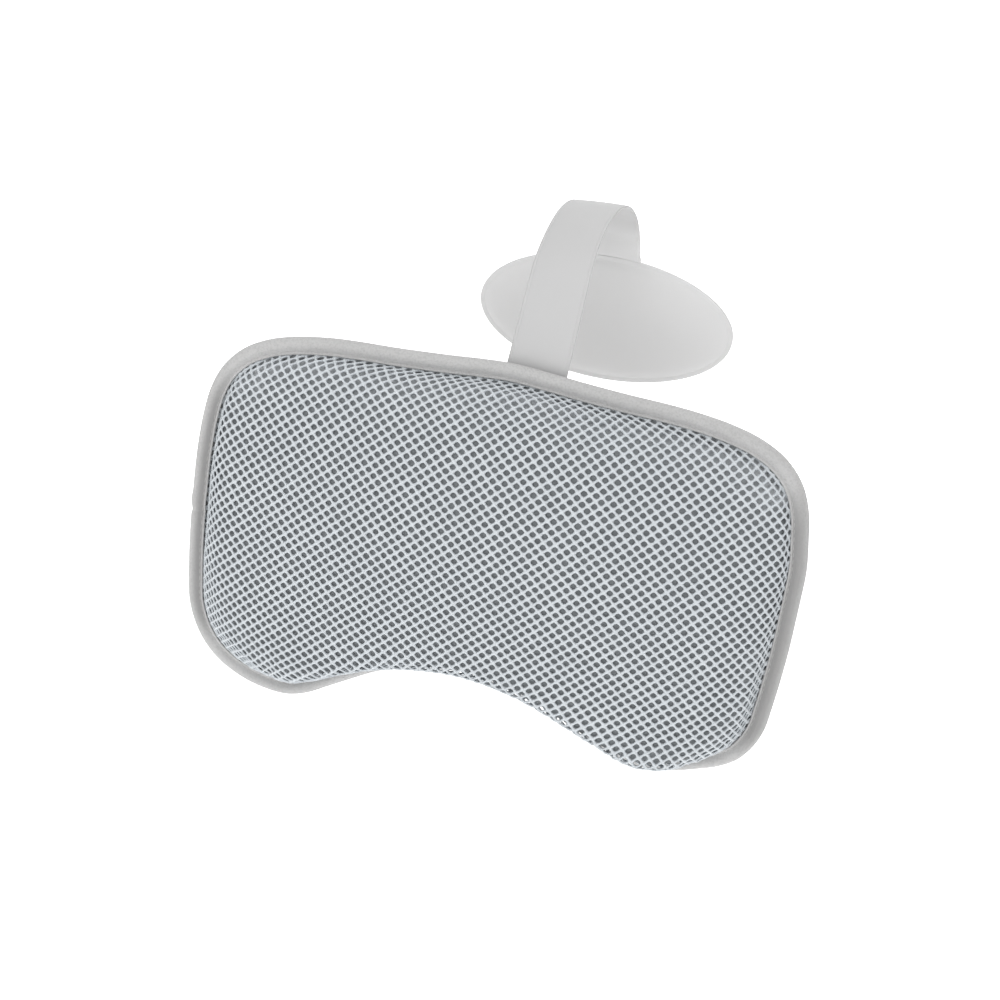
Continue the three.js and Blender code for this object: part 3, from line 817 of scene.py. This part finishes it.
# ------------------------------------------------------------------ back cover
def make_back():
    n = 300
    rings = 1 - np.concatenate([np.linspace(0, 0.03, 5), np.linspace(0.06, 0.97, 26)])
    loop = inset(SEAM + 0.1, n)
    p2 = np.concatenate([inset(7.6, n), inset(SEAM - 0.08, n), spread(loop, rings)])
    d, _, s = edge_exact(p2)
    u = np.maximum(d - SEAM, 0)
    slack = 0.10 * np.sin(p2[:, 0] / 23.0 + 0.6) * np.sin(p2[:, 1] / 17.0) + 0.08 * np.sin((p2[:, 0] + p2[:, 1]) / 31.0)
    puckers = 0.16 * gather_at(s) * np.sin(2 * math.pi * s / 13.0 + 0.8 * np.sin(2 * math.pi * s / 57.0)) * np.exp(-u / 7)
    rear = -0.32 * np.exp(-u / 2.0) + (slack + puckers) * smooth01(u / 5) - 0.02
    rear[: 2 * n] = -1.52  # tucked in under the binding
    top = np.stack([p2[:, 0], rear, p2[:, 1]], 1)
    low = np.stack([p2[:, 0], rear - 0.9, p2[:, 1]], 1)
    rows = len(rings) + 2
    verts = np.vstack([top, low, [[MID[0], 0.0, MID[1]], [MID[0], -0.9, MID[1]]]])
    k = np.arange(n)
    k2 = (k + 1) % n
    base = rows * n
    faces = [tuple(f) for f in grid_faces(rows, n, closed_cols=True, flip=True)]
    faces += [tuple(base + i for i in f) for f in grid_faces(rows, n, closed_cols=True)]
    faces += [(a, b, base + b, base + a) for a, b in zip(k, k2)]
    last = (rows - 1) * n
    faces += [(last + b, last + a, 2 * base) for a, b in zip(k, k2)]
    faces += [(base + last + a, base + last + b, 2 * base + 1) for a, b in zip(k, k2)]
    uv = verts[:, [0, 2]] * MM
    o = mesh_object("back_cover", verts, faces, uv=uv)
    o.data.materials.append(M_PANEL)
    return o


back = make_back()
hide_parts("back_panel")
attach(back, "pillow")


# ------------------------------------------------------------------ strap
def eased(values, k):
    x, v = np.array(TWIST_AT), np.array(values, float)
    d = np.diff(v) / np.diff(x)
    m = np.empty(len(v))
    m[0], m[-1] = d[0], d[-1]
    for i in range(1, len(v) - 1):
        m[i] = 0 if d[i - 1] * d[i] <= 0 else 2 * d[i - 1] * d[i] / (d[i - 1] + d[i])
    i = min(max(int(np.searchsorted(x, k, "right")) - 1, 0), len(x) - 2)
    h = x[i + 1] - x[i]
    t = min(max((k - x[i]) / h, 0), 1)
    return (2 * t**3 - 3 * t**2 + 1) * v[i] + (t**3 - 2 * t**2 + t) * h * m[i] + (-2 * t**3 + 3 * t**2) * v[i + 1] + (t**3 - t**2) * h * m[i + 1]


HEAD = np.array([math.sin(YAW), math.cos(YAW), 0.0])
UPZ = np.array([0.0, 0.0, 1.0])
T0 = math.sin(LEAN) * HEAD + math.cos(LEAN) * UPZ
LOOP_C = BASE + RUN * T0 + LOOP_R * (math.cos(LEAN) * HEAD - math.sin(LEAN) * UPZ)
F0, F1 = math.pi - LEAN, PAD_LEAN
LEN = RUN + LOOP_R * (F0 - F1)


def strap_raw(s):
    """Middle of the strap, its direction and its width direction at a length along it from the root."""
    if s < 0:
        return BASE + UPZ * s, UPZ.copy(), np.array([1.0, 0, 0])
    q = min(s, LEN)
    if q <= RUN:
        p, t = BASE + T0 * q, T0.copy()
    else:
        a = F0 - (q - RUN) / LOOP_R
        p = LOOP_C + LOOP_R * (math.cos(a) * HEAD + math.sin(a) * UPZ)
        t = math.sin(a) * HEAD - math.cos(a) * UPZ
    y, r = math.radians(eased(TWIST_YAW, q / LEN)), math.radians(eased(TWIST_ROLL, q / LEN))
    w = np.array([math.cos(r) * math.cos(y), -math.cos(r) * math.sin(y), math.sin(r)])
    w -= t * (w @ t)
    w /= np.linalg.norm(w)
    if s > LEN:
        p = p + t * (s - LEN)
    return p, t, w


S_ALL = np.arange(-ANCHOR_L, LEN + TAB_L + 0.6 + 1e-6, 1.0)
S_ALL = np.concatenate([S_ALL[S_ALL < LEN + TAB_L + 0.2], [LEN + TAB_L + 0.6]])
RAW = [strap_raw(s) for s in S_ALL]
PATH_P, PATH_W = np.array([r[0] for r in RAW]), np.array([r[2] for r in RAW])


def eased_path(a, width, lo, hi):
    """Rounds the path's corners within lo..hi by a moving average."""
    out = a.copy()
    for _ in range(3):
        pad = np.vstack([np.repeat(out[:1], width, 0), out, np.repeat(out[-1:], width, 0)])
        kern = np.ones(2 * width + 1) / (2 * width + 1)
        avg = np.stack([np.convolve(pad[:, c], kern, "valid") for c in range(3)], 1)
        blend_w = smooth01((S_ALL - lo) / 6) * smooth01((hi - S_ALL) / 6)
        out = out * (1 - blend_w[:, None]) + avg * blend_w[:, None]
    return out


PATH_P = eased_path(PATH_P, 4, -10, 22)
PATH_W = eased_path(PATH_W, 4, -10, LEN - 4)
PATH_W /= np.linalg.norm(PATH_W, axis=1)[:, None]
PATH_T = np.gradient(PATH_P, axis=0)
PATH_T /= np.linalg.norm(PATH_T, axis=1)[:, None]
PATH_W -= PATH_T * (PATH_W * PATH_T).sum(1)[:, None]
PATH_W /= np.linalg.norm(PATH_W, axis=1)[:, None]
PATH_N = np.cross(PATH_W, PATH_T)  # towards the front on the front run


def along_strap(s):
    f = lambda a: np.array([np.interp(s, S_ALL, a[:, c]) for c in range(3)])
    return f(PATH_P), f(PATH_T), f(PATH_W), f(PATH_N)


# half section: distance across from the middle, height over the middle plane; a welded line runs just inside each edge
HALF_SECTION = [(0, 0.6), (4, 0.6), (8, 0.6), (11.5, 0.6), (13.6, 0.6), (14.15, 0.56), (14.4, 0.44), (14.65, 0.56), (15.0, 0.60), (15.5, 0.58), (15.85, 0.42), (16.0, 0.15)]


def strap_piece(name, s0, s1, round0=False, round1=False, meets_pad=False):
    """One length of the strap. The last one swells and flares where it meets the pad's front sheet, so that both run on without a step."""
    cuts = np.concatenate([[s0], np.arange(math.floor(s0) + 1, s1 - 0.3, 1.0), [s1]])
    lip = LEN + 0.46
    if meets_pad:
        cuts = np.sort(np.concatenate([cuts[np.abs(cuts - lip) > 0.3], [lip, lip + 0.07]]))
    half = np.array(HALF_SECTION)
    across = np.concatenate([-half[::-1, 0], half[1:, 0], half[::-1, 0], -half[1:, 0]])
    height = np.concatenate([half[::-1, 1], half[1:, 1], -half[::-1, 1], -half[1:, 1]])
    m = len(across)
    verts, uv, painted_light_inner = [], [], []
    for s in cuts:
        p, t, w, n = along_strap(s)
        narrow = 1.0
        for flag, end, sign in ((round0, s0, 1), (round1, s1, -1)):
            e = (s - end) * sign
            if flag and e < 3.0:
                narrow = min(narrow, 1 - (3.0 - math.sqrt(max(9.0 - (3.0 - e) ** 2, 0))) / 16.0)
        # slow ripple and a faint crown across, as a sheet that has been folded away shows
        ripple = 0.18 * math.sin(s / 13.0 + 0.7) + 0.1 * math.sin(s / 5.3)
        free = float(smooth01((s - 6) / 20) * smooth01((LEN - 6 - s) / 16))
        swell_mm, flow = 0.0, 0.0
        if meets_pad:
            swell_mm = 2.15 * float(smooth01((s - lip + 15) / 15)) if s < lip + 0.03 else 0.0
            narrow *= 1 + 0.06 * float(smooth01((s - lip + 5) / 5)) ** 2 * float(smooth01((lip + 3.2 - s) / 3))
            flow = float(smooth01((s - lip + 6) / 6) * smooth01((lip + 4 - s) / 3.6))
        for a, h in zip(across, height):
            curl = -0.5 * free * (a / 16.0) ** 2 + free * ripple * (a / 16.0) * 0.6
            down = flow * PAD_B * (1 - math.sqrt(1 - (a * narrow / PAD_A) ** 2))
            verts.append(p + w * a * narrow + n * (h + curl - (swell_mm if h < 0 else 0.0)) + t * down)
            uv.append((a * MM, s * MM))
            # painted light: the inner face is made paler over the last stretch before the pad
            painted_light_inner.append(float(smooth01((s - 141) / (LEN - 142))) if h < 0 else 0.0)
    rows = len(cuts)
    faces = [tuple(f) for f in grid_faces(rows, m, closed_cols=True)]
    faces.append(tuple(range(m))[::-1])
    faces.append(tuple((rows - 1) * m + i for i in range(m)))
    o = mesh_object(name, verts, faces, uv=np.array(uv), attributes={"painted_light_inner": painted_light_inner})
    import bmesh

    bm = bmesh.new()
    bm.from_mesh(o.data)
    bmesh.ops.recalc_face_normals(bm, faces=bm.faces)
    bm.to_mesh(o.data)
    bm.free()
    sharpen(o, 50)
    o.data.materials.append(M_STRAP)
    return o


S_A, S_B, S_C = 46.0, (FOLD_FRONT + FOLD_REAR) / 2, (FOLD_REAR + LEN) / 2
STRAPS = [
    ("strap_root", -ANCHOR_L, S_A, True, False, ("pillow", "strap_front"), 0.0, (-5, 20), ("strap_anchor",)),
    ("strap_front_bend", S_A, S_B, False, False, ("strap_front", "strap_crest"), FOLD_FRONT, (-22, 22), ("strap_front_run",)),
    ("strap_rear_bend", S_B, S_C, False, False, ("strap_crest", "strap_rear"), FOLD_REAR, (-17, 17), ("strap_crest",)),
    ("strap_tail", S_C, LEN + TAB_L + 0.6, False, True, ("strap_rear", "weight_pad"), LEN, (-16, 0.46), ("strap_rear_run", "strap_pad_tab")),
]
for name, a, b, r0, r1, bodies, fold, (back_mm, on_mm), nodes in STRAPS:
    o = strap_piece(name, a, b, r0, r1, name == "strap_tail")
    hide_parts(*nodes)
    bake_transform(o)


def box_seam(origin, ax, ay, up, width, height, pitch=3.4, gap=0.9):
    """Stitches round a rectangle that is centred on origin."""
    starts, ends, ups = [], [], []
    corners = [(-1, -1), (1, -1), (1, 1), (-1, 1)]
    for (x0, y0), (x1, y1) in zip(corners, corners[1:] + corners[:1]):
        p0 = origin + ax * x0 * width / 2 + ay * y0 * height / 2
        p1 = origin + ax * x1 * width / 2 + ay * y1 * height / 2
        length = np.linalg.norm(p1 - p0)
        k = max(1, round(length / pitch))
        for i in range(k):
            f0, f1 = i / k, (i + 1 - gap / pitch) / k
            starts.append(p0 + (p1 - p0) * f0)
            ends.append(p0 + (p1 - p0) * f1)
            ups.append(up)
    return starts, ends, ups


anchor_seam = stitches("anchor_stitches", *box_seam(np.array([10.6, 1.72, 70.0]), np.array([1.0, 0, 0]), np.array([0, 0, 1.0]), np.array([0, 1.0, 0]), 26, 30), radius=0.3, seed=5)
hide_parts("anchor_stitch")
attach(anchor_seam, "pillow")

# ------------------------------------------------------------------ weight pad
END_P, END_T, END_W = strap_raw(LEN)
PAD_X, PAD_UP = END_W, -END_T
PAD_N = np.cross(END_T, END_W)
PAD_C = END_P + END_T * (PAD_B + 0.6)


def pad_point(x, y, z):
    return PAD_C + np.multiply.outer(x, PAD_X) + np.multiply.outer(y, PAD_UP) + np.multiply.outer(z, PAD_N)


def ellipse_inset(e, n):
    """Points of the pad's outline, moved in by e."""
    th = np.linspace(0, 2 * math.pi, n, endpoint=False)
    p = np.stack([PAD_A * np.cos(th), PAD_B * np.sin(th)], 1)
    nrm = np.stack([np.cos(th) / PAD_A, np.sin(th) / PAD_B], 1)
    nrm /= np.linalg.norm(nrm, axis=1)[:, None]
    return p - nrm * e, th


def pad_cover(name, profile, inner, thick, sign, mat):
    """A sheet with a welded edge: profile gives (in from the edge, height) and then the face runs on to the middle."""
    n = 220
    rings, heights = [], []
    for e, z in profile:
        p, th = ellipse_inset(e, n)
        rings.append(p)
        heights.append(np.full(n, z))
    last = rings[-1]
    for t in np.linspace(0.9, 0.06, 12):
        rings.append(last * t)
        r2 = (rings[-1][:, 0] / PAD_A) ** 2 + (rings[-1][:, 1] / PAD_B) ** 2
        heights.append(profile[-1][1] + inner * (1 - r2) * (1 - t))
    P = np.concatenate(rings)
    Z = np.concatenate(heights)
    Z = Z + 0.05 * np.sin(P[:, 0] / 9.0 + 0.4) * np.sin(P[:, 1] / 7.0) * smooth01((1 - (P[:, 0] / PAD_A) ** 2 - (P[:, 1] / PAD_B) ** 2) * 3)
    rows = len(rings)
    face = pad_point(P[:, 0], P[:, 1], Z)
    under = pad_point(P[:, 0], P[:, 1], Z - sign * thick)
    c = np.array([pad_point(0.0, 0.0, Z[-1] + 0.0), pad_point(0.0, 0.0, Z[-1] - sign * thick)])
    verts = np.vstack([face, under, c])
    base = rows * n
    faces = [tuple(f) for f in grid_faces(rows, n, closed_cols=True)]
    faces += [tuple(base + i for i in f) for f in grid_faces(rows, n, closed_cols=True, flip=True)]
    k = np.arange(n)
    k2 = (k + 1) % n
    faces += [(a, base + a, base + b, b) for a, b in zip(k, k2)]
    lr = (rows - 1) * n
    faces += [(lr + a, lr + b, 2 * base) for a, b in zip(k, k2)]
    faces += [(base + lr + b, base + lr + a, 2 * base + 1) for a, b in zip(k, k2)]
    o = mesh_object(name, verts, faces, uv=np.vstack([P, P, [[0, 0], [0, 0]]]) * MM)
    import bmesh

    bm = bmesh.new()
    bm.from_mesh(o.data)
    bmesh.ops.recalc_face_normals(bm, faces=bm.faces)
    bm.to_mesh(o.data)
    bm.free()
    sharpen(o, 55)
    o.data.materials.append(mat)
    return o


pad_front = pad_cover(
    "pad_front",
    [(0.0, 2.6), (0.15, 2.75), (0.5, 2.82), (1.2, 2.86), (2.0, 2.92), (2.45, 2.93), (2.65, 2.89), (2.85, 2.95), (3.4, 3.08), (4.2, 3.27), (5.0, 3.45), (6.0, 3.64), (7.5, 3.8), (9.5, 3.9), (12.0, 3.95)],
    0.12, 0.5, 1, M_PAD,
)
pad_back = pad_cover(
    "pad_back",
    [(0.0, 1.25), (0.12, 1.02), (0.4, 0.92), (1.2, 0.9), (1.9, 0.92), (2.25, 1.04), (2.5, 1.12), (2.75, 1.04), (3.1, 0.92), (4.0, 0.86), (5.5, 0.84), (8.0, 0.84), (12.0, 0.86)],
    0.0, 0.72, -1, M_PAD,
)
for o, nodes in ((pad_front, ("pad_front_cover",)), (pad_back, ("pad_rear_cover",))):
    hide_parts(*nodes)
    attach(o, "weight_pad")

tab_seam = stitches("tab_stitches", *box_seam(pad_point(0.0, PAD_B - 14.0, -0.62), PAD_X, PAD_UP, -PAD_N, 26, 19), radius=0.3, seed=6)
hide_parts("pad_tab_stitch")
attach(tab_seam, "weight_pad")

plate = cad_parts["weight_plate"]
plate.data.materials.clear()
plate.data.materials.append(M_STEEL)


# ------------------------------------------------------------------ stage, light and camera
def make_floor():
    size, z = 40.0, -0.118
    me = bpy.data.meshes.new("floor")
    me.from_pydata([(-size, -size, z), (size, -size, z), (size, size, z), (-size, size, z)], [], [(0, 1, 2, 3)])
    o = bpy.data.objects.new("floor", me)
    scene.collection.objects.link(o)
    m, nt, b = material("floor_white")
    b.inputs["Base Color"].default_value = rgba(0.9, 0.9, 0.9)
    b.inputs["Roughness"].default_value = 0.9
    b.inputs["Specular IOR Level"].default_value = 0.0
    b.inputs["Emission Color"].default_value = rgba(1, 1, 1)
    b.inputs["Emission Strength"].default_value = 0.65
    me.materials.append(m)
    return o


make_floor()

world = bpy.data.worlds.new("studio")
world.use_nodes = True
scene.world = world
bg = world.node_tree.nodes["Background"]
bg.inputs[0].default_value = rgba(1, 1, 1)
bg.inputs[1].default_value = 1.34
sky = world.node_tree
way = sky.nodes.new("ShaderNodeTexCoord")
parts = node(sky, "ShaderNodeSeparateXYZ", None, Vector=way.outputs["Generated"])
aside = math_node(sky, "ABSOLUTE", parts.outputs[0])
dim = sky.nodes.new("ShaderNodeMapRange")
dim.interpolation_type = "SMOOTHSTEP"
for i, v in enumerate((0.2, 0.8, 0.0, 1.0)):
    dim.inputs[i + 1].default_value = v
sky.links.new(aside, dim.inputs[0])
sky.links.new(mix_colour(sky, dim.outputs[0], rgba(1, 1, 1), rgba(0.06, 0.06, 0.06)), bg.inputs[0])


def area_light(name, at, towards, size, power):
    data = bpy.data.lights.new(name, "AREA")
    data.shape, data.size, data.energy = "SQUARE", size, power
    o = bpy.data.objects.new(name, data)
    scene.collection.objects.link(o)
    o.location = at
    o.rotation_mode = "QUATERNION"
    o.rotation_quaternion = (Vector(towards) - Vector(at)).to_track_quat("-Z", "Y")
    return o


area_light("key", (-0.35, -1.5, 1.4), (0, 0, 0), 1.4, 5)
area_light("top", (0.1, 0.15, 1.7), (0, 0, 0), 1.6, 8)

cam_data = bpy.data.cameras.new("camera")
cam = bpy.data.objects.new("camera", cam_data)
scene.collection.objects.link(cam)
cam_data.sensor_width, cam_data.lens = 36.0, 64.8
az, el, roll = math.radians(10.081), math.radians(19.0), math.radians(-8.900)
right = Vector((math.cos(az), math.sin(az), 0))
forward = Vector((-math.sin(az) * math.cos(el), math.cos(az) * math.cos(el), -math.sin(el)))
above = right.cross(forward)
cx = right * math.cos(roll) - above * math.sin(roll)
cy = right * math.sin(roll) + above * math.cos(roll)
cam.matrix_world = Matrix(((cx.x, cy.x, -forward.x, 0.15843), (cx.y, cy.y, -forward.y, -0.87642), (cx.z, cy.z, -forward.z, 0.33531), (0, 0, 0, 1)))
scene.camera = cam
scene.view_settings.view_transform = "Standard"
